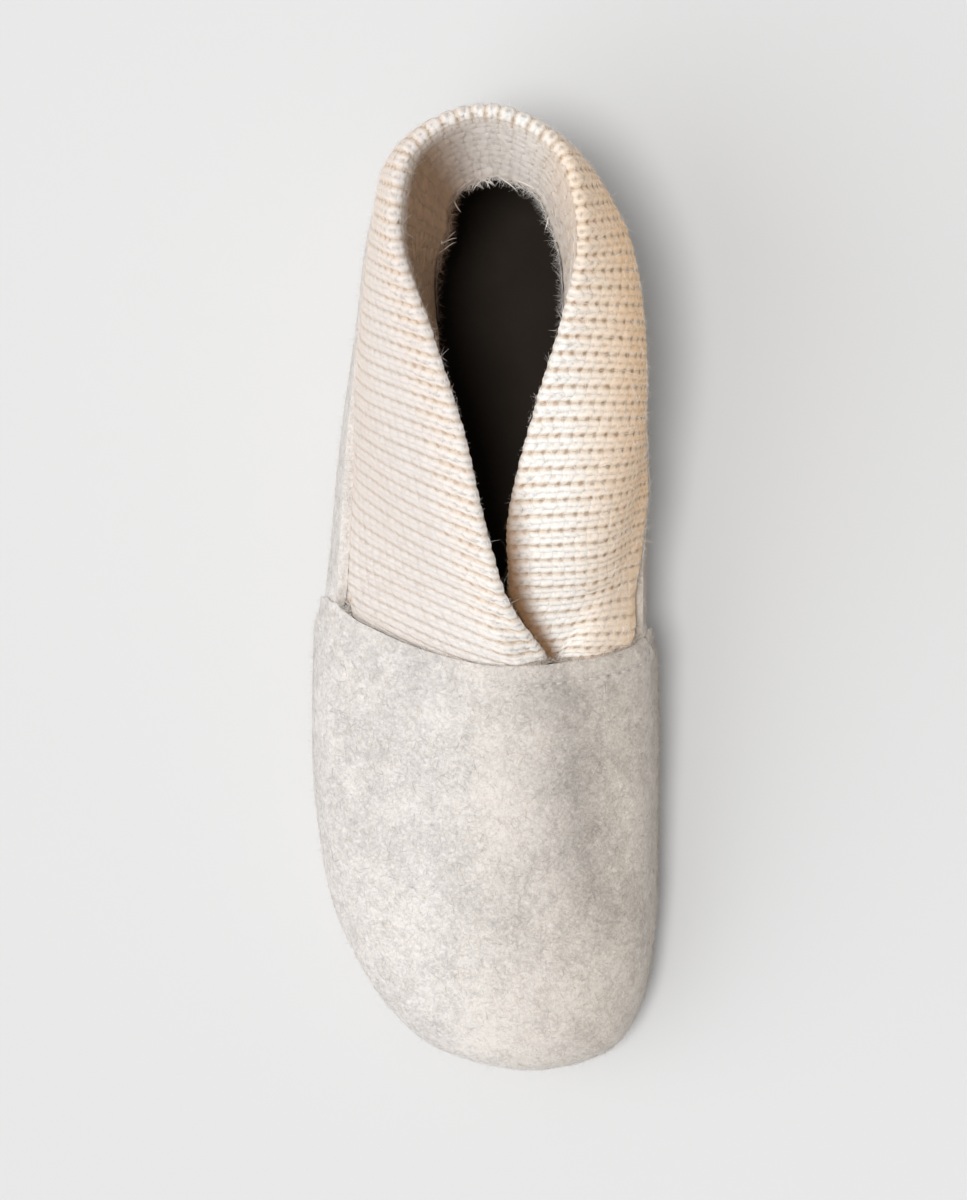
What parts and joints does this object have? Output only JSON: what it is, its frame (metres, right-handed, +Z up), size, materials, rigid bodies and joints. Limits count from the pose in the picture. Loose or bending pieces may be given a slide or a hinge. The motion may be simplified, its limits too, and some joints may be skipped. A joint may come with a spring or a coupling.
{
  "type": "slipper boot",
  "caption": "Right-foot indoor slipper boot: felt foot with a felt overlay across the toes, a wrapped rib-knit shaft, a felt insole and a thin rubber sole.",
  "frame": {"origin": "on the floor plane under the middle of the shoe's bounding box", "axes": "+Z up, +Y towards the heel and -Y towards the toe, +X towards the inner side of the foot"},
  "size_m": [0.0894, 0.2461, 0.1037],
  "materials": {
    "sole_rubber": "matt moulded rubber with a fine tread",
    "insole_felt": "smooth dark brown felt",
    "quarter_felt": "light grey melange wool felt, slightly fuzzy",
    "vamp_felt": "light grey melange wool felt, slightly fuzzy",
    "rib_knit": "cream rib knit of soft wool yarn, folded double at the rim"
  },
  "bodies": {
    "root": {"outsole": "sole_rubber", "insole": "insole_felt", "upper": "quarter_felt", "vamp": "vamp_felt", "shaft": "rib_knit"}
  },
  "joints": []
}
